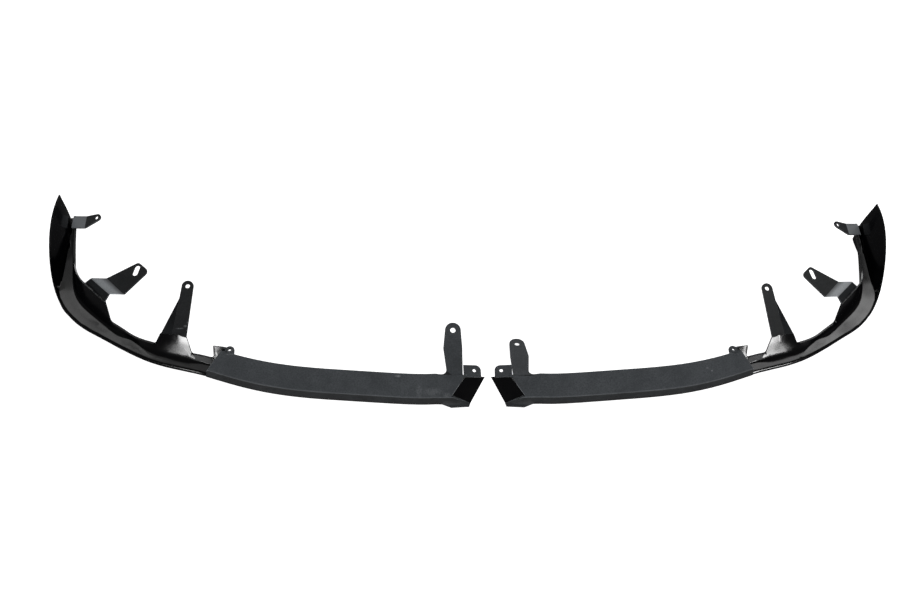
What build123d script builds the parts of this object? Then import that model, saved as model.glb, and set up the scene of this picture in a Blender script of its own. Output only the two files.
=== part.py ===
from build123d import *
import os
from math import cos, radians, sin, tan

# Front splitter lip for a car: two mirror-image moulded halves that lie side by side on their lower rims.
# X runs across the car (+X is the vehicle's left), Y runs rearward and Z runs up from the ground.
# Each half is drawn for the +X side with Y counted from the nose, and is then moved so that the origin lies
# midway between the halves, at the middle of their depth. Sizes are in millimetres and angles in degrees.

# Moulding
wall = 3.0                  # thickness of the moulded sheet
nose_round = 5.0            # rounding of the upper nose edge
notch_round = 5.0           # rounding at the foot of a cut-out in the flange
chord_count = 4             # flats that make up a rounding of the curved sheet's upper side

# Blade: the broad face that tucks under the bumper skin
blade_inner = 42.0          # X of its upper inner corner
blade_foot = 71.0           # X of its lower inner corner
blade_bend = 102.0          # X where the inner end starts to bend down
blade_bend_run = 20.0       # length of that bend
blade_bend_drop = 5.0       # how far the rear edge drops in it
blade_outer = 540.0         # X of the outer end at the rim
blade_end_slant = 40.0      # how far the outer end leans toward the centre over the blade's depth
bevel_rise = 19.0           # height of the nose bevel
bevel_run = 5.0             # how far the bevel leans back
blade_depth = 45.0          # plan depth from the rim to the rear edge
blade_height = 41.0         # height of the rear edge

# Lower rim in plan, from the centre end along the nose and round the corner to the rear end
rim_points = [(34, 2), (200, 6), (blade_outer - 190, 19), (blade_outer - 90, 36), (blade_outer + 5, 68),
              (blade_outer + 100, 94), (blade_outer + 196, 144), (blade_outer + 266, 192), (blade_outer + 302, 242),
              (blade_outer + 309, 300), (blade_outer + 303, 360), (blade_outer + 300, 412)]
rear_end = rim_points[-1][1]

# Strip, corner and side: a shelf behind the rim with a flange that leans back behind it
shelf_height = 9.0          # height of the shelf along the nose
shelf_rear_height = 46.0    # height of the shelf at the rear end
strip_height = 21.0         # height of the low stretches of the flange
riser_lift = 2.0            # how far the riser beside the step stands above the blade
riser_lap = 1.0             # how far its upper edge lies behind the blade's
corner_height = 59.0        # height of the flange under the corner bracket

# Centre end
end_top = 36.0              # height of the end wall at its outer corner
end_drop = 4.0              # fall of its upper edge toward the centre
end_point = 6.0             # X of its pointed inner corner
end_toe = 5.0               # how far the flat flange at its foot reaches in front of the rim

# Tall centre tab
tall_x = 66.0               # X of the hole
tall_length = 90.0          # from the blade's rear edge to the hole
tall_top_radius = 15.5
tall_waist_radius = 18.5
tall_waist = 54.0           # distance of the widest place from the blade's rear edge
tall_hole = 10.5
tall_slope_left = -17.0     # above the horizontal: the left half's tab is bent down
tall_slope_right = 15.0     # the right half's tab stands up

# Small centre tab
small_width = 34.0
small_depth = 24.0
small_reach = 13.0          # from the wall's upper edge to the hole
small_radius = 11.0
small_hole = 7.0

# Ear at the blade's outer rear corner
ear_x = blade_outer - 46.0
ear_radius = 9.0
ear_hole = 6.5
ear_ring = 2.2              # width of the raised ring round the hole
ear_ring_height = 3.0

# Gusset tab
gusset_x = blade_outer + 76.0    # X of the rim abreast of the rib's fold line
gusset_inner = 28.0         # from the fold line to the tab's inner edge, along the rim
gusset_outer = 28.0         # from the fold line to the rib's outer edge, along the rim
gusset_height = 50.0        # height of the line where the tab begins
gusset_fall = 10.0          # how much lower the rib's outer corner is
gusset_reach = 46.0         # plan depth of that line behind the rim
gusset_sweep = 20.0         # radius of the swept-up base
gusset_slope = 13.0         # above the horizontal
gusset_length = 99.0        # from that line to the hole
gusset_lean = 23.0          # how far the hole lies toward the centre from the fold line's foot
gusset_radius = 11.5
gusset_hole = 9.0

# Corner bracket
bracket_front = blade_outer + 222.0   # X of the rim abreast of the root's front end
bracket_rear = blade_outer + 282.0    # X of the rim abreast of the root's rear end
root_front = 46.0           # plan depth of the root's front end behind the rim
root_rear = 51.0            # plan depth of its rear end
bracket_rise = 11.0         # height of the first fold above the root
bracket_fold = 17.0         # reach of the first fold
bracket_plate = 18.0        # reach of the flat plate between the folds
bracket_tab = 61.0          # reach of the tab beyond the second fold
bracket_tab_rise = 18.0     # rise of the tab
bracket_skew = 40.0         # how far the tab's end is offset along the root
bracket_end = 30.0          # width of the tab's end
bracket_round = 8.0
slot_length = 22.0
slot_width = 10.0
slot_angle = 64.0           # between the slot and the root
slot_edge = 14.5            # from the slot's middle to the tab's end
slot_offset = 6.0           # from the tab's middle line to the slot's middle

# End bracket
end_reach = 14.0            # plan depth of its root behind the rim
end_width = 30.0
end_plate = 26.0
end_rise = 7.0              # height of the plate above the shelf
end_ear = 31.0
end_ear_radius = 9.0
end_slope = 14.0
end_hole_length = 9.0
end_hole_width = 6.0

# Fin
fin_start = blade_outer + 275.0  # X of the rim where the fin starts to grow
fin_height = 134.0
fin_bulge = 12.0            # outward lean of the crest at mid length
fin_turn_in = 6.0           # inward turn of the tip
fin_edge = 2.2              # thickness of the crest
fin_rake = 10.0             # forward rake of the rear edge
# Share of its length, how far its inner face stands inward on the shelf there, and the shelf's share of its rise
fin_feet = [(0.28, 7, 0.105), (0.36, 12, 0.19), (0.5, 14.5, 0.37), (0.66, 14, 0.59), (0.83, 11, 0.8), (1, 5.5, 1)]

up = Vector(0, 0, 1)


def corner_arc(a, b, c, radius):
    """Start, middle and end of the arc that rounds corner b of the path a, b, c."""
    back = (a - b).normalized()
    ahead = (c - b).normalized()
    half_angle = radians(back.get_angle(ahead) / 2)
    inward = (back + ahead).normalized()
    reach = radius / tan(half_angle)
    centre = b + inward * (radius / sin(half_angle))
    return b + back * reach, centre - inward * radius, b + ahead * reach


def rounded_path(points, radii, chords):
    """Edges along the points, with each inner corner rounded by its radius, as an arc or as a row of chords."""
    edges = []
    start = points[0]
    for i, radius in enumerate(radii, 1):
        arc = Edge.make_three_point_arc(*corner_arc(points[i - 1], points[i], points[i + 1], radius))
        corners = [arc.position_at(step / chords) for step in range(chords + 1)] if chords else []
        edges.append(Edge.make_line(start, arc.position_at(0)))
        edges.extend([Edge.make_line(a, b) for a, b in zip(corners, corners[1:])] or [arc])
        start = arc.position_at(1)
    edges.append(Edge.make_line(start, points[-1]))
    return edges


def shifted(points, distance):
    """The path moved to its right by a distance, with mitred corners."""
    normals = []
    for a, b in zip(points, points[1:]):
        along = (b - a).normalized()
        normals.append(Vector(along.Y, -along.X))
    moved = [points[0] + normals[0] * distance]
    for i in range(1, len(points) - 1):
        both = normals[i - 1] + normals[i]
        moved.append(points[i] + both * (2 * distance / both.dot(both)))
    moved.append(points[-1] + normals[-1] * distance)
    return moved


def sheet_section(points, radii, turns, chords=0):
    """Section of a sheet whose upper side is the path. A turn is 1 where the path bends right, -1 left."""
    top = [Vector(*p) for p in points]
    under = shifted(top, wall)
    under_radii = [max(r - wall * t, 0.6) for r, t in zip(radii, turns)]
    edges = rounded_path(top, radii, chords)
    edges.append(Edge.make_line(top[-1], under[-1]))
    edges.extend(rounded_path(under[::-1], under_radii[::-1], chords // 2))
    edges.append(Edge.make_line(under[0], top[0]))
    return Face(Wire(edges))


rim = Edge.make_spline([Vector(x, y) for x, y in rim_points])


def share_at(x=None, y=None):
    """Share of the rim at which it reaches an X or a Y."""
    low, high = 0.0, 1.0
    for _ in range(40):
        middle = (low + high) / 2
        here = rim.position_at(middle)
        before = here.X < x if x is not None else here.Y < y
        low, high = (middle, high) if before else (low, middle)
    return low


def rim_y(x):
    """Y of the rim at an X."""
    return rim.position_at(share_at(x=x)).Y


def rim_station(share):
    """Upright plane across the rim: its x axis points into the half, its y axis points up."""
    along = rim.tangent_at(share)
    inward = Vector(-along.Y, along.X).normalized()
    return Plane(origin=rim.position_at(share), x_dir=inward, z_dir=inward.cross(up))


def upright(points, low, high):
    """Prism over a plan outline."""
    return extrude(Pos(Z=low) * make_face(Polyline(*points, close=True)), high - low)


def front_prism(points, radius):
    """Prism along Y over an outline drawn in the front view, with its two lowest corners rounded."""
    outline = Sketch() + make_face(Polyline(*points, close=True))
    outline = fillet(outline.vertices().sort_by(Axis.Y)[:2], radius)
    plane = Plane(origin=(0, rear_end, 0), x_dir=(1, 0, 0), z_dir=(0, -1, 0))
    return extrude(plane * outline, 2 * rear_end)


def gusset_point(along, fall):
    """Point on the line where the gusset tab begins, a distance along the rim from its fold line."""
    return rim_station(share_at(x=gusset_x + along)).from_local_coords(Vector(gusset_reach, gusset_height - fall))


def rail():
    """Rim, shelf and flange, from under the blade's end round the corner to the rear end."""
    riser = blade_height + riser_lift
    inner = gusset_x - gusset_inner
    outer = gusset_x + gusset_outer
    # Where on the rim, shelf height and width, reach and height of the flange's edge, radius at its foot
    stations = [
        (share_at(x=ear_x + 14), shelf_height, 20, blade_depth + riser_lap, riser, 8),
        (share_at(x=blade_outer - 8), shelf_height, 20, blade_depth + riser_lap, riser, 8),
        (share_at(x=inner - 28), shelf_height, 20, 44, riser, 10),
        (share_at(x=inner), shelf_height, 20, gusset_reach, gusset_height, gusset_sweep),
        (share_at(x=gusset_x), shelf_height, 20, gusset_reach, gusset_height, gusset_sweep),
        (share_at(x=outer), shelf_height, 18, gusset_reach, gusset_height - gusset_fall, gusset_sweep),
        (share_at(x=outer + 30), shelf_height, 20, 43, riser + 4, 9),
        (share_at(x=bracket_front - 46), shelf_height, 22, 43, corner_height - 5, 7),
        (share_at(x=bracket_front), shelf_height, 28, root_front, corner_height, 8),
        (share_at(x=bracket_rear), shelf_height + 2, 34, root_rear, corner_height + 2, 8),
        (share_at(y=rear_end - 150), shelf_height + 6, 36, 46, 54, 7),
        (share_at(y=rear_end - 102), shelf_height + 16, 32, 35, 47, 5),
        (share_at(y=rear_end - 52), shelf_rear_height - 10, 22, 23, shelf_rear_height + 2, 4),
        (share_at(y=rear_end - 24), shelf_rear_height - 5, 17, 18, shelf_rear_height + 4, 3),
        (1.0, shelf_rear_height, end_reach - 1, end_reach, shelf_rear_height + end_rise, 2.5),
    ]
    sections = []
    for share, shelf, width, reach, height, foot in stations:
        path = [(0, 0), (0, shelf), (width, shelf), (reach, height)]
        sections.append(rim_station(share) * sheet_section(path, [nose_round, foot], [1, -1], chord_count))
    return loft(sections)


def flange_notches():
    """Cut-outs that leave the flange low beside the step and between the gusset tab and the corner bracket."""
    high = 2 * corner_height
    inner = gusset_point(-gusset_inner, 0).X
    outer = gusset_point(gusset_outer, gusset_fall).X
    step = blade_outer - 14
    bracket = bracket_front - 27
    beside_step = front_prism([(step, high), (step, strip_height), (inner - 9, strip_height),
                               (inner, gusset_height + 2), (inner, high)], notch_round)
    beside_corner = front_prism([(outer, high), (outer, gusset_height - gusset_fall), (outer + 12, strip_height),
                                 (bracket - 6, strip_height + 1), (bracket, corner_height + 1),
                                 (bracket, high)], notch_round)
    return beside_step + beside_corner


def fin_line(share):
    """At a share of the fin's length: the plane across the rim, the crest's height and its outward lean."""
    start = rim_y(fin_start)
    crest = shelf_height / 2 + (fin_height - shelf_height / 2) * sin(radians(90 * share)) ** 2
    lean = fin_bulge * 1.3 * share * sin(radians(180 * share)) - fin_turn_in * share ** 3
    return rim_station(share_at(y=start + share * (rear_end - start))), crest, lean


def fin():
    """Leaf-shaped end plate that grows out of the corner, thick at its root, and ends in a pointed rear tip."""
    plate = []
    for step in range(7):
        plane, crest, lean = fin_line(step / 6)
        knee = 0.35 * crest
        skin = -0.8 if step else 0.4
        outline = Polyline((skin, 0), (skin, knee), (-lean, crest), (fin_edge - lean, crest),
                           (skin + fin_edge, knee), (skin + fin_edge, 0), close=True)
        plate.append(plane * make_face(outline))
    root = []
    for share, foot, rise in fin_feet:
        plane, crest, lean = fin_line(share)
        shelf = shelf_height + 2 + (shelf_rear_height - shelf_height - 2) * rise
        outline = Polyline((0.3, shelf - wall / 2), (fin_edge / 2 - lean, 0.98 * crest), (foot, shelf - wall / 2),
                           close=True)
        root.append(plane * make_face(outline))
    notch = shelf_rear_height + end_rise
    rear_face = [(rear_end, notch), (rear_end - fin_rake, fin_height), (rear_end - fin_rake, 2 * fin_height),
                 (2 * rear_end, 2 * fin_height), (2 * rear_end, notch)]
    plane = Plane(origin=(0, 0, 0), x_dir=(0, 1, 0), z_dir=(1, 0, 0))
    behind = extrude(plane * make_face(Polyline(*rear_face, close=True)), 2 * fin_start)
    return loft(plate) + loft(root) - behind


def blade_section(x, drop):
    """Section of the blade at an X, with its rear edge lowered by a drop."""
    path = [(0, 0), (bevel_run, bevel_rise), (blade_depth, blade_height - drop)]
    plane = Plane(origin=(x, rim_y(x), 0), x_dir=(0, 1, 0), z_dir=(1, 0, 0))
    return plane * sheet_section(path, [nose_round], [1], chord_count)


def beyond_step(overlap):
    """All that lies outward of the blade's slanted outer end."""
    foot = Vector(blade_outer - overlap, rim_y(blade_outer))
    along = Vector(-blade_end_slant, blade_depth)
    near = foot - along
    far = foot + along * 2
    outside = 2 * blade_outer
    return upright([(near.X, near.Y), (outside, near.Y), (outside, outside), (far.X, outside), (far.X, far.Y)],
                   -wall, 2 * fin_height)


def blade():
    """Broad sloping face with a bevelled nose, its inner end bent down, from the centre end to the step."""
    span = blade_outer - blade_bend
    middle = [blade_section(blade_bend + span * share, 0) for share in (0, 0.22, 0.44, 0.66, 0.84, 1.05)]
    bent = blade_section(blade_bend - blade_bend_run, blade_bend_drop)
    inner = blade_section(rim_points[0][0], blade_bend_drop - 2)
    whole = loft(middle) + loft([middle[0], bent, inner], ruled=True)
    high = 3 * end_top
    end_cut = [(-blade_foot, high), (-blade_foot, wall), (rim_points[0][0], wall + 1), (blade_foot, bevel_rise + 1),
               (blade_inner, end_top + 1), (blade_inner, high)]
    plane = Plane(origin=(0, rear_end, 0), x_dir=(1, 0, 0), z_dir=(0, -1, 0))
    end_cut = extrude(plane * make_face(Polyline(*end_cut, close=True)), 2 * rear_end)
    return whole - beyond_step(0) - end_cut


def centre_end():
    """Leaning end wall, the flat flange at its foot and the small tab on its upper edge."""
    rim_end = Vector(*rim_points[0])
    rear = rim_end.Y + blade_depth
    foot_outer = Vector(blade_foot, rim_end.Y + 7, bevel_rise)
    foot_inner = Vector(rim_end.X, rim_end.Y + 1, wall + 1)
    top_outer = Vector(blade_inner, rear - 3, end_top)
    top_inner = Vector(end_point, rear - 2, end_top - end_drop)
    inward = Vector(-0.15, 0.6, -0.8).normalized() * wall
    lap = Vector(3, 1, -1)
    edges = []
    for low, high in ((foot_outer + lap, top_outer + lap), (foot_inner, top_inner)):
        edges.append(Face(Wire.make_polygon([low, high, high + inward, low + inward])))
    panel = loft(edges, ruled=True)

    far = blade_foot + 21
    toe = [(far, rim_end.Y + 2), (blade_foot, -end_toe), (rim_end.X + 2, 2 - end_toe), (rim_end.X, rim_end.Y + 3)]
    flange = upright(toe, 0, wall)

    across = (top_outer - top_inner).normalized()
    rearward = Vector(0, cos(radians(8)), sin(radians(8)))
    plane = Plane(origin=(top_outer + top_inner) * 0.5, x_dir=across, z_dir=across.cross(rearward))
    outline = Sketch() + Pos(6, small_depth / 2 - 0.5) * Rectangle(small_width, small_depth + 1)
    far_corners = outline.vertices().group_by(Axis.Y)[-1].sort_by(Axis.X)
    outline = fillet(far_corners[0], small_radius)
    outline -= Pos(2, small_reach) * Circle(small_hole / 2)
    return panel + flange + extrude(plane * outline, -wall)


def tab_plane(x, y, z, slope):
    """Plane of a tab that runs rearward and up from a point, with x across the car."""
    return Plane(origin=(x, y, z), x_dir=(1, 0, 0), z_dir=(0, -sin(radians(slope)), cos(radians(slope))))


def tall_tab(slope):
    """Tall rounded tab that carries on from the blade's rear edge beside the centre end."""
    top = Pos(0, tall_length) * Circle(tall_top_radius)
    waist = Pos(1, tall_waist) * Circle(tall_waist_radius)
    foot = Pos(-2, 0) * Rectangle(2 * tall_top_radius - 1, wall)
    outline = make_hull(top.edges() + waist.edges() + foot.edges())
    outline = outline + Pos(6, 0) * Rectangle(3 * tall_top_radius, wall)
    root = [v for v in outline.vertices() if abs(v.Y - wall / 2) < 0.1 and 0 < v.X < tall_waist_radius + 2]
    outline = fillet(root, 9)
    outline -= Pos(0, tall_length) * Circle(tall_hole / 2)
    plane = tab_plane(tall_x, rim_y(tall_x) + blade_depth, blade_height - blade_bend_drop + 0.5, slope)
    return extrude(plane * outline, -wall)


def ear():
    """Small ear with a raised ring round its hole, at the blade's rear outer corner."""
    place = Pos(ear_x, rim_y(ear_x) + blade_depth + ear_radius / 2, blade_height + 1)
    lug = Circle(ear_radius) + Pos(0, -ear_radius / 2) * Rectangle(2 * ear_radius, ear_radius)
    solid = extrude(place * lug, -wall) + extrude(place * Circle(ear_hole / 2 + ear_ring), ear_ring_height)
    return solid, extrude(place * Circle(ear_hole / 2), ear_ring_height + wall, both=True)


def gusset_tab():
    """Tapered tab with a folded rib, standing on the swept-up base behind the strip."""
    inner = gusset_point(-gusset_inner, 0)
    fold = gusset_point(0, 0)
    outer = gusset_point(gusset_outer, gusset_fall)
    across = (fold - inner).normalized()
    rearward = Vector(-across.Y, across.X) * cos(radians(gusset_slope)) + up * sin(radians(gusset_slope))
    plane = Plane(origin=fold, x_dir=across, z_dir=across.cross(rearward))
    width = (fold - inner).length
    hole = plane.to_local_coords(fold + Vector(-gusset_lean, gusset_length * cos(radians(gusset_slope))))
    tip = Pos(hole.X, hole.Y + gusset_length * sin(radians(gusset_slope)) ** 2)
    foot = Pos(-width / 2, 0.7) * Rectangle(width, 3)
    outline = make_hull((tip * Circle(gusset_radius)).edges() + foot.edges())
    outline -= tip * Circle(gusset_hole / 2)
    main = extrude(plane * outline, -wall)

    fold_low = plane.from_local_coords(Vector(-wall / 2, 0.7))
    fold_top = plane.from_local_coords(Vector(0.8 * (hole.X + gusset_radius) - wall / 2, 0.8 * hole.Y))
    corners = [fold_low, outer, fold_top]
    normal = (outer - fold_low).cross(fold_top - fold_low).normalized()
    rib = Solid.extrude(Face(Wire.make_polygon(corners)), normal * -wall)
    return main + rib


def corner_bracket():
    """Folded bracket with a slot, on the high part of the flange at the corner."""
    front = rim_station(share_at(x=bracket_front)).from_local_coords(Vector(root_front, 0))
    rear = rim_station(share_at(x=bracket_rear)).from_local_coords(Vector(root_rear, 0))
    along = (rear - front).normalized()
    inward = Vector(-along.Y, along.X)
    root = (front + rear) * 0.5
    width = (rear - front).length
    folds = [bracket_fold, bracket_fold + bracket_plate, bracket_fold + bracket_plate + bracket_tab]
    flat = corner_height - 2 + bracket_rise
    path = [(-4, corner_height - 4), (folds[0] - 3, flat), (folds[1] - 2, flat + 2),
            (folds[2] + 2, flat + 2 + bracket_tab_rise)]
    profile = Plane(origin=root, x_dir=inward, z_dir=inward.cross(up))
    strip = extrude(profile * sheet_section(path, [nose_round, nose_round], [1, -1]), 2 * width, both=True)
    half_end = bracket_end / 2
    points = [(width / 2, 0), (-width / 2, 0), (1 - width / 2, folds[0]), (-bracket_skew - 12, folds[1]),
              (-bracket_skew - half_end, folds[2]), (half_end - bracket_skew, folds[2]), (1, folds[1]),
              (width / 2 - 8, folds[0])]
    outline = Sketch() + make_face(Polyline(*points, close=True))
    outline = fillet(outline.vertices().group_by(Axis.Y)[-1], bracket_round)
    place = Pos(slot_offset - bracket_skew, folds[2] - slot_edge)
    slot = place * Rot(Z=slot_angle) * SlotOverall(slot_length, slot_width)
    plan = Plane(origin=root, x_dir=along, z_dir=up)
    return strip & extrude(plan * (outline - slot), 4 * corner_height)


def end_bracket():
    """Short folded bracket with an oblong hole, at the rear inner corner of the shelf."""
    level = shelf_rear_height + end_rise
    root = rim_station(1.0).from_local_coords(Vector(end_reach - wall / 2, level))
    fold = root.X - end_plate
    front = rear_end - end_width
    plate = upright([(root.X, rear_end), (root.X, front), (fold, front), (fold, rear_end)], level - wall, level)
    slope = radians(end_slope)
    plane = Plane(origin=(fold, rear_end - end_width / 2, level), x_dir=(0, 1, 0), z_dir=(sin(slope), 0, cos(slope)))
    tip = Pos(end_width / 4, end_ear - end_ear_radius)
    foot = Pos(0, 0.5) * Rectangle(end_width, 1.5)
    outline = make_hull((tip * Circle(end_ear_radius)).edges() + foot.edges())
    outline -= tip * SlotOverall(end_hole_length, end_hole_width)
    return plate + extrude(plane * outline, -wall)


def half_without_tall_tab():
    """One half of the lip on the +X side, but for its tall tab."""
    bar = rail()
    near = ear_x + ear_radius - 2
    rear_edge = upright([(near, 0), (blade_outer, 0), (blade_outer, rear_end), (near, rear_end)],
                        blade_height - 8, 2 * blade_height)
    outer = (bar & (beyond_step(wall / 2) + rear_edge)) - flange_notches()
    lug, lug_hole = ear()
    solid = outer.fuse(fin(), blade(), centre_end(), lug, gusset_tab(), corner_bracket(), end_bracket())
    return split(solid - lug_hole, Plane.XY, keep=Keep.TOP)


shared = half_without_tall_tab()
place = Pos(Y=-shared.bounding_box().center().Y)
left_half = place * (shared + tall_tab(tall_slope_left))
right_half = place * mirror(shared + tall_tab(tall_slope_right), Plane.YZ)

os.makedirs("parts", exist_ok=True)
export_step(left_half, "parts/left_half.step")
export_step(right_half, "parts/right_half.step")
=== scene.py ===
# %% [markdown]
# # Front splitter lip
# The lip is bought as two loose halves, moulded from black ABS, that are screwed under the nose of
# a car. The CAD model already has every wall, tab and hole, so Blender's work is the skin: which
# faces are polished, which are textured, how light runs along the curves, and the marks that a
# used part carries.

# %% Load the CAD frame
from math import pi, radians

import bpy
from mathutils import Matrix, Vector


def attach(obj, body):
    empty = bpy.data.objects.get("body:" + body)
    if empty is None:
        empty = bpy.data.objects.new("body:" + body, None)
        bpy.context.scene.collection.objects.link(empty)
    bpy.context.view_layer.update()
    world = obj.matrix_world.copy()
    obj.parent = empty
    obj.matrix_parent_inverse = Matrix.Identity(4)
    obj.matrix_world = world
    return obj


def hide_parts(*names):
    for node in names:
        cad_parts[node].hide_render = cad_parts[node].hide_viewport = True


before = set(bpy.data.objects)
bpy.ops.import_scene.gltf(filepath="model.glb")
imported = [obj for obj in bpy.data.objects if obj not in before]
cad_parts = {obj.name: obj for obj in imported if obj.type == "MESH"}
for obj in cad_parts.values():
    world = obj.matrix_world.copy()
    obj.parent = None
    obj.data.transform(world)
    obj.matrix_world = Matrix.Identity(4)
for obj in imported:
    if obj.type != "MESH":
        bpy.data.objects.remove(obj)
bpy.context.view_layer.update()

MM = 0.001  # Blender works in metres


# %% [markdown]
# ## A smooth copy of each half
# A CAD mesh arrives as loose triangles, so every facet would catch the light by itself. A copy of
# each half is merged into one skin, and its shallow edges are shaded as one curve while the folds
# stay crisp. Remeshing would also smooth it, but it would blunt the thin edges that make the part
# look moulded.

# %% Copy, merge and smooth the halves
NODES = ("left_half", "right_half")
NAMES = ("lip_half_left", "lip_half_right")
MERGE_DISTANCE = 0.02 * MM
FLAT_PAIR = radians(12)   # two triangles that turn less than this make one quad
ANY_SHAPE = radians(180)  # however long and thin that quad is
FOLD = radians(28)        # an edge that turns more than this stays crisp


def deselect_all():
    bpy.ops.object.select_all(action="DESELECT")


def pick(piece):
    """Makes one piece the only selected and active one."""
    deselect_all()
    piece.select_set(True)
    bpy.context.view_layer.objects.active = piece


def smooth_copy(node, name):
    """A merged and smoothly shaded copy of a CAD node, with its own mesh."""
    pick(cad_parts[node])
    bpy.ops.object.duplicate()
    piece = bpy.context.object
    piece.name = name
    bpy.ops.object.mode_set(mode="EDIT")
    bpy.ops.mesh.select_all(action="SELECT")
    bpy.ops.mesh.remove_doubles(threshold=MERGE_DISTANCE)
    # Long thin triangles shade like the teeth of a saw, and quads don't
    bpy.ops.mesh.tris_convert_to_quads(face_threshold=FLAT_PAIR, shape_threshold=ANY_SHAPE)
    bpy.ops.object.mode_set(mode="OBJECT")
    bpy.ops.object.shade_smooth_by_angle(angle=FOLD)
    # Broad faces set the direction of the shading, so narrow neighbours don't smear it across them
    bpy.ops.object.modifier_add(type="WEIGHTED_NORMAL")
    piece.modifiers[-1].keep_sharp = True
    piece.modifiers[-1].mode = "FACE_AREA_WITH_ANGLE"
    bpy.ops.object.modifier_apply(modifier=piece.modifiers[-1].name)
    print(name, len(piece.data.polygons), "faces")
    return piece


halves = [smooth_copy(node, name) for node, name in zip(NODES, NAMES)]


# %% [markdown]
# ## Helpers for the finishes
# Colours are picked as sRGB hex values, as a paint chip would be, and Blender wants them linear.
# One small function adds a node with its settings and links, so each finish below reads as a list.

# %% Colour and node helpers
FACTOR, COLOUR_A, COLOUR_B, MIXED = 0, 6, 7, 2  # sockets of a Mix node that blends two colours


def linear(hex_colour):
    """An sRGB hex colour as the linear RGBA that Blender's sockets take."""
    shares = [int(hex_colour[i:i + 2], 16) / 255 for i in (1, 3, 5)]
    return [s / 12.92 if s <= 0.04045 else ((s + 0.055) / 1.055) ** 2.4 for s in shares] + [1.0]


def add(tree, kind, inputs=None, **settings):
    """Adds a node. Settings are its own options. Inputs are values or other nodes' outputs."""
    node = tree.nodes.new(kind)
    for name, value in settings.items():
        setattr(node, name, value)
    for socket, value in (inputs or {}).items():
        if isinstance(value, bpy.types.NodeSocket):
            tree.links.new(value, node.inputs[socket])
        else:
            node.inputs[socket].default_value = value
    return node


def new_material(name):
    """An empty node material and its node tree."""
    material = bpy.data.materials.new(name)
    material.use_nodes = True
    material.node_tree.nodes.clear()
    return material, material.node_tree


print("mid grey in linear light", [round(share, 3) for share in linear("#808080")])


# %% [markdown]
# ## Edges and marks
# Two masks serve every finish. One finds the rims and folds, which the finishes lighten toward
# grey as a painted highlight. The other places a single mark, such as a scuff, where the
# photograph shows it.

# %% Masks for painted edge highlights and single marks
HIGHLIGHT_STARTS, HIGHLIGHT_FULL = 0.87, 0.72  # cosine of the skin's turn where the painted edge highlight starts and is full
MARK_CORE = 0.35                   # share of a mark's half size that has its full depth


def painted_edge_highlight(tree, reach):
    """A painted highlight mask: 0 on open skin and up to 1 where the skin turns sharply within a
    reach in millimetres.
    """
    turned = add(tree, "ShaderNodeBevel", {"Radius": reach * MM}, samples=6)
    straight = add(tree, "ShaderNodeNewGeometry")
    same = add(tree, "ShaderNodeVectorMath",
               {0: turned.outputs[0], 1: straight.outputs["Normal"]}, operation="DOT_PRODUCT")
    highlight_mask = add(tree, "ShaderNodeMapRange", {"Value": same.outputs["Value"],
                                              "From Min": HIGHLIGHT_STARTS, "From Max": HIGHLIGHT_FULL})
    return highlight_mask.outputs[0]


def mark(tree, place, centre, sizes, depth):
    """A soft oval with a depth from 0 to 1, at a centre and with half sizes in millimetres."""
    moved = add(tree, "ShaderNodeVectorMath", {0: place, 1: Vector(centre) * MM},
                operation="SUBTRACT")
    oval = add(tree, "ShaderNodeVectorMath",
               {0: moved.outputs[0], 1: [1 / (size * MM) for size in sizes]}, operation="MULTIPLY")
    reach = add(tree, "ShaderNodeVectorMath", {0: oval.outputs[0]}, operation="LENGTH")
    shade = add(tree, "ShaderNodeMapRange", {"Value": reach.outputs["Value"], "From Min": 1.0,
                                             "From Max": MARK_CORE, "To Max": depth})
    return shade.outputs[0]


def join_masks(tree, masks):
    """The strongest of several masks at each place."""
    joined = masks[0]
    for mask in masks[1:]:
        joined = add(tree, "ShaderNodeMath", {0: joined, 1: mask}, operation="MAXIMUM").outputs[0]
    return joined


print("the painted edge highlight starts at a cosine of", HIGHLIGHT_STARTS, "and is full at", HIGHLIGHT_FULL)


# %% [markdown]
# ## Gloss ABS
# Black ABS from a polished mould: the fins, the shelf, the flange and the end walls. The colour is
# almost black, so what the eye reads is the reflection. A little waviness from the mould keeps
# long highlights from being perfectly straight.

# %% Gloss black ABS
ABS_IOR = 1.54
FLOW_WAVE = 60   # millimetres from wave to wave, a few hundredths of a millimetre deep
DULL_PATCH = 25  # millimetres across the patches that handling has dulled
GLOSS_HIGHLIGHT = 1.2  # millimetres of painted highlight along the edges
# Centre and half sizes in millimetres, without their signs so that they serve both halves, and
# roughness. The riser's free end beside the step is dull, so it stands off the white floor. The
# swept-up base of the gusset tab is less polished, so its highlight fades out softly.
RISER_END = ((528, 101, 36), (9, 16, 22), 0.7)
GUSSET_BASE = ((592, 92, 26), (70, 40, 30), 0.27)


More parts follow.
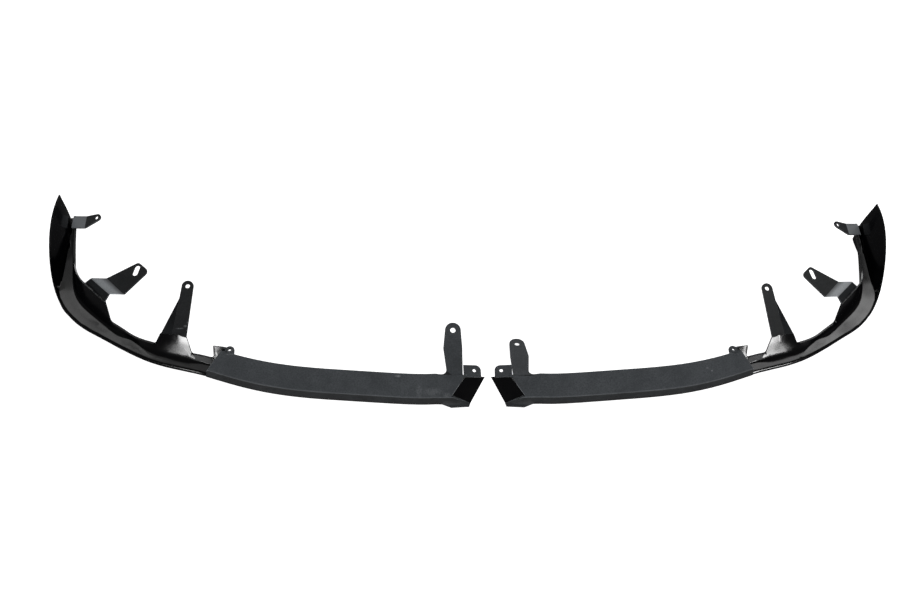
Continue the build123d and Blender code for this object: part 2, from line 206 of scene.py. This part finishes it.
def gloss_abs():
    """Polished black ABS, with flow waves, duller patches and a painted highlight on its edges."""
    material, tree = new_material("ABS gloss black, polished mould")
    place = add(tree, "ShaderNodeTexCoord").outputs["Object"]
    waves = add(tree, "ShaderNodeTexNoise",
                {"Vector": place, "Scale": 1 / (FLOW_WAVE * MM), "Detail": 1.0})
    bump = add(tree, "ShaderNodeBump", {"Height": waves.outputs["Fac"], "Strength": 0.03,
                                        "Distance": 1 * MM})
    dull = add(tree, "ShaderNodeTexNoise",
               {"Vector": place, "Scale": 1 / (DULL_PATCH * MM), "Detail": 4.0})
    rough = add(tree, "ShaderNodeMapRange", {"Value": dull.outputs["Fac"], "From Min": 0.35,
                                             "From Max": 0.75, "To Min": 0.15, "To Max": 0.22})
    unsigned = add(tree, "ShaderNodeVectorMath", {0: place}, operation="ABSOLUTE").outputs[0]
    riser_end = mark(tree, unsigned, *RISER_END)
    gusset_base = mark(tree, unsigned, *GUSSET_BASE)
    dulled = join_masks(tree, [rough.outputs[0], riser_end, gusset_base])
    # Rims and folds turn from black toward grey: a painted highlight.
    tone = add(tree, "ShaderNodeMix", {FACTOR: painted_edge_highlight(tree, GLOSS_HIGHLIGHT),
                                       COLOUR_A: linear("#020203"),
                                       COLOUR_B: linear("#3a3b3d")}, data_type="RGBA")
    skin = add(tree, "ShaderNodeBsdfPrincipled", {"Base Color": tone.outputs[MIXED],
                                                  "Roughness": dulled, "IOR": ABS_IOR,
                                                  "Normal": bump.outputs[0]})
    add(tree, "ShaderNodeOutputMaterial", {"Surface": skin.outputs[0]})
    return material


gloss = gloss_abs()
print(gloss.name)


# %% [markdown]
# ## Satin ABS
# The blade and the fixing tabs come from a spark-eroded mould face: the same black ABS, greyed by
# a fine grain that spreads the highlight. The real grain is about 0.15 mm, too fine for this
# picture, so it is drawn at 1 mm. The corner brackets have a plate between two folds, which
# carries a painted highlight along its middle, and a mask of its own shapes it.

# %% Mask for the bent plate
# Direction across the corner bracket's folds on the +X half, and how far along it the middle of
# the plate lies, in millimetres
BEND_ACROSS = (-0.687, 0.727, 0)
BEND_MIDDLE = -489
BEND_PALE, BEND_DARK = 2, 12  # millimetres from that middle where the plate is palest and darkest
BEND_DEPTH = 0.75


def painted_highlight_falloff(tree, place):
    """0 along the middle of a corner bracket's bent plate, and BEND_DEPTH toward its folds, where
    its painted highlight fades.
    """
    unsigned = add(tree, "ShaderNodeVectorMath", {0: place}, operation="ABSOLUTE").outputs[0]
    across = add(tree, "ShaderNodeVectorMath", {0: unsigned, 1: BEND_ACROSS},
                 operation="DOT_PRODUCT")
    off = add(tree, "ShaderNodeMath", {0: across.outputs["Value"], 1: BEND_MIDDLE * MM},
              operation="SUBTRACT")
    away = add(tree, "ShaderNodeMath", {0: off.outputs[0]}, operation="ABSOLUTE")
    shade = add(tree, "ShaderNodeMapRange", {"Value": away.outputs[0], "From Min": BEND_PALE * MM,
                                             "From Max": BEND_DARK * MM, "To Max": BEND_DEPTH},
                interpolation_type="SMOOTHSTEP")
    return shade.outputs[0]


print("the bent plate darkens from", BEND_PALE, "to", BEND_DARK, "mm off its middle")


# %% Satin textured ABS
# Sizes in millimetres
GRAIN = 1.0                         # the real 0.15 mm is too fine to show
SPECKLE = 2.5                       # the grain's sparkle, also coarser than it is
CLOUD = 40                          # soft patches of paler and darker grey
STREAK = 3                          # scuffs break up into streaks
SATIN_HIGHLIGHT, HIGHLIGHT_SHARE = 1.6, 0.7     # painted highlight along the edges, and how far it turns to the pale tone
SHADE_TOP, SHADE_FULL = 3.5, 2      # below these heights the tone darkens, to near black at the bottom


def satin_abs(name, dark, light, roughness, shine, scuffs, bent=False):
    """Textured ABS that clouds between two tones, with a painted highlight on its edges and paler
    scuffs.
    """
    material, tree = new_material(name)
    place = add(tree, "ShaderNodeTexCoord").outputs["Object"]
    grain = add(tree, "ShaderNodeTexNoise",
                {"Vector": place, "Scale": 1 / (GRAIN * MM), "Detail": 2.0})
    bump = add(tree, "ShaderNodeBump", {"Height": grain.outputs["Fac"], "Strength": 0.25,
                                        "Distance": 0.2 * MM})
    cloud = add(tree, "ShaderNodeTexNoise",
                {"Vector": place, "Scale": 1 / (CLOUD * MM), "Detail": 5.0})
    speckle = add(tree, "ShaderNodeTexNoise",
                  {"Vector": place, "Scale": 1 / (SPECKLE * MM), "Detail": 1.0})
    mottle = add(tree, "ShaderNodeMath", {0: cloud.outputs["Fac"], 1: speckle.outputs["Fac"]},
                 operation="MULTIPLY")
    share = add(tree, "ShaderNodeMapRange", {"Value": mottle.outputs[0], "From Min": 0.12,
                                             "From Max": 0.40})
    tone = add(tree, "ShaderNodeMix", {FACTOR: share.outputs[0], COLOUR_A: linear(dark),
                                       COLOUR_B: linear(light)}, data_type="RGBA")
    # The bent plate's painted highlight fades toward its folds.
    if bent:
        tone = add(tree, "ShaderNodeMix", {FACTOR: painted_highlight_falloff(tree, place),
                                           COLOUR_A: tone.outputs[MIXED],
                                           COLOUR_B: linear("#141618")}, data_type="RGBA")
    # Toward the bottom edge the tone darkens to near black.
    height = add(tree, "ShaderNodeSeparateXYZ", {0: place})
    low = add(tree, "ShaderNodeMapRange", {"Value": height.outputs["Z"],
                                           "From Min": SHADE_TOP * MM,
                                           "From Max": SHADE_FULL * MM})
    base = add(tree, "ShaderNodeMix", {FACTOR: low.outputs[0], COLOUR_A: tone.outputs[MIXED],
                                       COLOUR_B: linear("#030304")}, data_type="RGBA")
    streak = add(tree, "ShaderNodeTexNoise",
                 {"Vector": place, "Scale": 1 / (STREAK * MM), "Detail": 3.0})
    broken = add(tree, "ShaderNodeMapRange", {"Value": streak.outputs["Fac"], "From Min": 0.3,
                                              "From Max": 0.6})
    spots = join_masks(tree, [mark(tree, place, *scuff) for scuff in scuffs])
    worn = add(tree, "ShaderNodeMath", {0: spots, 1: broken.outputs[0]}, operation="MULTIPLY")
    # Rims and folds turn toward the pale tone as a painted highlight, and the scuffs share that
    # tone.
    edge = add(tree, "ShaderNodeMath", {0: painted_edge_highlight(tree, SATIN_HIGHLIGHT), 1: HIGHLIGHT_SHARE},
               operation="MULTIPLY")
    pale = join_masks(tree, [worn.outputs[0], edge.outputs[0]])
    skin_tone = add(tree, "ShaderNodeMix", {FACTOR: pale, COLOUR_A: base.outputs[MIXED],
                                            COLOUR_B: linear("#8c8f92")}, data_type="RGBA")
    skin = add(tree, "ShaderNodeBsdfPrincipled", {"Base Color": skin_tone.outputs[MIXED],
                                                  "Roughness": roughness, "IOR": ABS_IOR,
                                                  "Specular IOR Level": shine,
                                                  "Normal": bump.outputs[0]})
    add(tree, "ShaderNodeOutputMaterial", {"Surface": skin.outputs[0]})
    return material


print("satin grain drawn at", GRAIN, "mm and speckle at", SPECKLE, "mm")


# %% [markdown]
# ## Four versions of the satin
# The blade is an even dark grey. The tabs behind it were rubbed less and are darker. The plates of
# the rear brackets are paler, a painted sheen, and the bent plates of the corner brackets are the
# palest, a painted highlight. One function makes all four, so that their grain is the same.

# %% Four satin finishes
# Centre, half sizes and depth of each scuff, in millimetres as seen on the part
BLADE_SCUFFS = [((-174, -160, 39), (7, 3, 5), 0.5),
                ((-133, -186, 25), (8, 19, 14), 0.16),
                ((-108, -187, 24), (24, 10, 10), 0.18),
                ((-80, -192, 21), (10, 6, 6), 0.2),
                ((437, -141, 32), (3.5, 2.5, 3), 0.4),
                ((447, -145, 29), (2.5, 2.5, 3), 0.4)]
TAB_SCUFFS = [((-590, -62.5, 53.5), (9, 1.6, 4), 0.5),
              ((-580, -58, 55), (4, 3, 4), 0.5),
              ((-576, -52, 56.5), (2, 4, 4), 0.5)]
satin = satin_abs("ABS satin black, spark-eroded mould", "#35383b", "#45484b",
                  roughness=0.62, shine=0.2, scuffs=BLADE_SCUFFS)
dark_satin = satin_abs("ABS satin black, fine grain", "#0f1113", "#1f2123",
                       roughness=0.5, shine=0.3, scuffs=TAB_SCUFFS)
# The rear brackets' top plates are paler: a painted sheen.
sheen_painted_satin = satin_abs("ABS satin black, plate with painted sheen", "#606468", "#6b6f73",
                        roughness=0.40, shine=0.5, scuffs=TAB_SCUFFS)
# The corner brackets' bent plates are the palest: a painted highlight.
highlight_painted_satin = satin_abs("ABS satin black, bent plate with painted highlight", "#82868a", "#94989c",
                       roughness=0.40, shine=0.5, scuffs=TAB_SCUFFS, bent=True)
print(satin.name, "/", dark_satin.name, "/", sheen_painted_satin.name, "/", highlight_painted_satin.name)


# %% [markdown]
# ## Which faces are polished
# One moulding carries both finishes, because parts of its mould were polished and parts were
# textured. The faces are picked by where they lie, measured in millimetres on the +X half and
# mirrored for the other: x runs outwards, y to the rear and z up. Every test also gets the face's
# rise, which is 1 where it looks straight up and 0 where it stands upright.

# %% Places on the blade
STEP_X, STEP_Y = 540, -137.8            # a point on the step line at the blade's outer end
STEP_OUT_X, STEP_OUT_Y = 45, 40         # across that line, outwards
WALL_FOOT_X, WALL_FOOT_Z = 34, 4        # where the end wall's lower edge starts
WALL_FOOT_SLOPE = 0.432
WALL_SIDE_X, WALL_SIDE_Z = 72, 20       # a point on the end wall's outer edge
WALL_SIDE_LEAN = 1.706
NOSE_LEAST_RISE, NOSE_MOST_RISE = 0.05, 0.5
NOSE_REAR = -100
TABS_OUTER, TABS_FRONT = 95, -158
EAR_X, EAR_Y, EAR_RADIUS, EAR_LOW = 494, -104.3, 15, 38.5


def on_blade(x, y, z, rise):
    """Inward of the step line, and not on the polished end wall."""
    inward_of_step = (x - STEP_X) * STEP_OUT_X + (y - STEP_Y) * STEP_OUT_Y < 0
    under_wall = z - WALL_FOOT_Z < WALL_FOOT_SLOPE * (x - WALL_FOOT_X)
    beside_wall = x > WALL_SIDE_X - WALL_SIDE_LEAN * (z - WALL_SIDE_Z)
    return inward_of_step and (under_wall or beside_wall) and x > WALL_FOOT_X


def on_nose(x, y, z, rise):
    """The steep bevel along the blade's front."""
    steep = NOSE_LEAST_RISE < rise < NOSE_MOST_RISE
    return on_blade(x, y, z, rise) and steep and y < NOSE_REAR


def on_centre_tabs(x, y, z, rise):
    return x < TABS_OUTER and y > TABS_FRONT


def on_ear(x, y, z, rise):
    return (x - EAR_X) ** 2 + (y - EAR_Y) ** 2 < EAR_RADIUS ** 2 and z > EAR_LOW


print("step line through", (STEP_X, STEP_Y), "and end wall from", (WALL_FOOT_X, WALL_FOOT_Z))

# %% Places on the strip, the tabs and the brackets
STRIP_INNER, STRIP_OUTER, STRIP_FRONT = 526, 562, -124
STRIP_LOW, STRIP_HIGH = 12, 21
GUSSET_INNER, GUSSET_OUTER, GUSSET_LOW = 550, 632, 36
GUSSET_INNER_FOOT = (577, -80.4, 0.257)    # x, y and slope of the two lines of the tab's foot
GUSSET_OUTER_FOOT = (603.5, -73.6, 0.326)
ROOT_X, ROOT_Y = 737.7, -5.6               # a point on the corner bracket's root line
ROOT_WIDTH = 1                             # faces of the root itself stay polished
CORNER_INNER, CORNER_OUTER, CORNER_LOW = 640, 790, 52
BENT_FROM, BENT_TO = 15, 33.8              # the plate between the folds, from the root line
END_OUTER, END_FRONT, END_LOW = 826.5, 176, 46
FLAT_RISE = 0.99


def on_strip(x, y, z, rise):
    return STRIP_INNER < x < STRIP_OUTER and STRIP_LOW < z < STRIP_HIGH and y > STRIP_FRONT


def on_gusset_tab(x, y, z, rise):
    """Behind the two lines where the tab leaves its swept-up base."""
    foot_x, foot_y, slope = GUSSET_INNER_FOOT if x < GUSSET_OUTER_FOOT[0] else GUSSET_OUTER_FOOT
    behind_foot = y > foot_y + slope * (x - foot_x)
    return GUSSET_INNER < x < GUSSET_OUTER and behind_foot and z > GUSSET_LOW


def from_root(x, y):
    """Millimetres from the corner bracket's root line, across its folds."""
    return BEND_ACROSS[0] * (x - ROOT_X) + BEND_ACROSS[1] * (y - ROOT_Y)


def on_corner_bracket(x, y, z, rise):
    return from_root(x, y) > ROOT_WIDTH and z > CORNER_LOW and CORNER_INNER < x < CORNER_OUTER


def on_bent_plate(x, y, z, rise):
    return on_corner_bracket(x, y, z, rise) and BENT_FROM < from_root(x, y) < BENT_TO


def on_end_bracket(x, y, z, rise):
    return x < END_OUTER and y > END_FRONT and z > END_LOW


def on_end_plate(x, y, z, rise):
    return on_end_bracket(x, y, z, rise) and rise > FLAT_RISE


print("corner bracket's root line through", (ROOT_X, ROOT_Y))

# %% Paint the halves
# A later line paints over an earlier one, so the nose follows the blade and plates their brackets
FINISHES = [(dark_satin, [on_gusset_tab, on_corner_bracket, on_end_bracket, on_strip]),
            (satin, [on_blade, on_centre_tabs, on_ear]),
            (dark_satin, [on_nose]),
            (sheen_painted_satin, [on_end_plate]),
            (highlight_painted_satin, [on_bent_plate])]


def paint(piece):
    """Gives a half its finishes, by the place of each face and how far it faces up."""
    piece.data.materials.clear()
    piece.data.materials.append(gloss)
    for slot, (material, places) in enumerate(FINISHES, 1):
        piece.data.materials.append(material)
        # An edge or corner left selected would select its faces again in edit mode
        for elements in (piece.data.edges, piece.data.vertices):
            elements.foreach_set("select", [False] * len(elements))
        chosen = 0
        for face in piece.data.polygons:
            x, y, z = [c / MM for c in face.center]
            face.select = any(test(abs(x), y, z, face.normal.z) for test in places)
            chosen += face.select
        pick(piece)
        bpy.ops.object.mode_set(mode="EDIT")
        piece.active_material_index = slot
        bpy.ops.object.material_slot_assign()
        bpy.ops.object.mode_set(mode="OBJECT")
        print(piece.name, chosen, "faces of", material.name)


for half in halves:
    paint(half)

# %% [markdown]
# ## Carried by the frame
# Each half stands for its CAD node and rides on the only body there is.

# %% Ride on the frame
for half, node in zip(halves, NODES):
    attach(half, "root")
    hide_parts(node)
    print(half.name, "stands for", node)


# %% [markdown]
# ## Floor
# A white sweep of paper, bright enough to show no edge. It is left out of the reflections, because
# the polished walls would mirror it and turn grey.

# %% Floor
FLOOR_WIDTH = 30
FLOOR_DROP = 0.4 * MM  # so that the floor and the part's underside don't share a plane

deselect_all()
bpy.ops.mesh.primitive_plane_add(size=FLOOR_WIDTH, location=(0, 0, -FLOOR_DROP))
floor = bpy.context.object
floor.name = "floor"
paper, paper_tree = new_material("white paper sweep")
paper_skin = add(paper_tree, "ShaderNodeBsdfPrincipled", {"Base Color": linear("#f6f6f6"),
                                                          "Roughness": 0.9,
                                                          "Specular IOR Level": 0.0,
                                                          "Emission Color": linear("#ffffff"),
                                                          "Emission Strength": 0.95})
add(paper_tree, "ShaderNodeOutputMaterial", {"Surface": paper_skin.outputs[0]})
floor.data.materials.append(paper)
floor.visible_glossy = False
print(floor.name, FLOOR_WIDTH, "m wide")


# %% [markdown]
# ## Soft boxes
# Polished black shows its lamps more than its colour, so each box stands where a face looks. The
# two small bright boxes in front are what the gusset bases mirror. One wide bright box would do
# that too, but it would whiten the tabs when they are seen from behind.

# %% Soft boxes
def soft_box(name, place, aim, width, depth, radiance):
    """A rectangular lamp of an even brightness, aimed at a point, with sizes in metres."""
    deselect_all()
    bpy.ops.object.light_add(type="AREA", location=place)
    lamp = bpy.context.object
    lamp.name = name
    lamp.data.shape = "RECTANGLE"
    lamp.data.size = width
    lamp.data.size_y = depth
    lamp.data.energy = radiance * pi * width * depth
    lamp.rotation_euler = (Vector(aim) - Vector(place)).to_track_quat("-Z", "Y").to_euler()
    print(name, round(lamp.data.energy), "W")


soft_box("ceiling_box", (0.0, 1.2, 2.5), (0, 0, 0), 4.5, 2.2, radiance=0.42)
soft_box("side_box", (1.15, 0.65, 2.3), (0.3, 0, 0), 1.2, 1.2, radiance=1.6)
soft_box("front_left_box", (-1.5, -2.3, 0.31), (-1.5, 0, 0.31), 0.7, 0.6, radiance=22.0)
soft_box("front_box", (0.15, -2.3, 0.31), (0.15, 0, 0.31), 2.4, 0.6, radiance=5.0)
soft_box("front_right_box", (2.35, -2.3, 0.36), (2.35, 0, 0.36), 1.1, 0.7, radiance=20.0)
soft_box("back_box", (0, 2.6, 1.3), (0, 0, 0), 4.0, 0.6, radiance=5.0)
soft_box("left_box", (-1.56, 1.04, 2.08), (-0.74, 0.03, 0.07), 0.7, 0.7, radiance=1.2)
soft_box("right_box", (2.03, 1.0, 1.85), (0.75, 0.04, 0.07), 0.7, 0.7, radiance=3.5)

# %% Room light and picture tones
ROOM_LIGHT = 0.06

world = bpy.data.worlds.new("dim studio")
bpy.context.scene.world = world
world.use_nodes = True
background = world.node_tree.nodes["Background"]
background.inputs["Color"].default_value = linear("#ffffff")
background.inputs["Strength"].default_value = ROOM_LIGHT
bpy.context.scene.view_settings.view_transform = "Standard"
print("room light", ROOM_LIGHT)

# %% [markdown]
# ## Camera
# The picture was taken from in front of the lip and high above it. The camera's place was worked
# out from where the holes, tips and corners fall in the photograph.

# %% Camera
TARGET = Vector((-43.2, 24.55, 0)) * MM
DISTANCE = 2.187
TURN, TILT, ROLL = radians(5.07), radians(56.64), radians(0.14)
SENSOR_WIDTH, LENS = 36, 41.82

camera_turn = (Matrix.Rotation(-TILT, 3, "X") @ Matrix.Rotation(-TURN, 3, "Z")
               @ Matrix.Rotation(radians(90), 3, "X") @ Matrix.Rotation(ROLL, 3, "Z"))
deselect_all()
bpy.ops.object.camera_add(location=TARGET + camera_turn @ Vector((0, 0, DISTANCE)),
                          rotation=camera_turn.to_euler())
camera = bpy.context.object
camera.data.sensor_width = SENSOR_WIDTH
camera.data.lens = LENS
bpy.context.scene.camera = camera
print("camera", [round(c, 3) for c in camera.location])
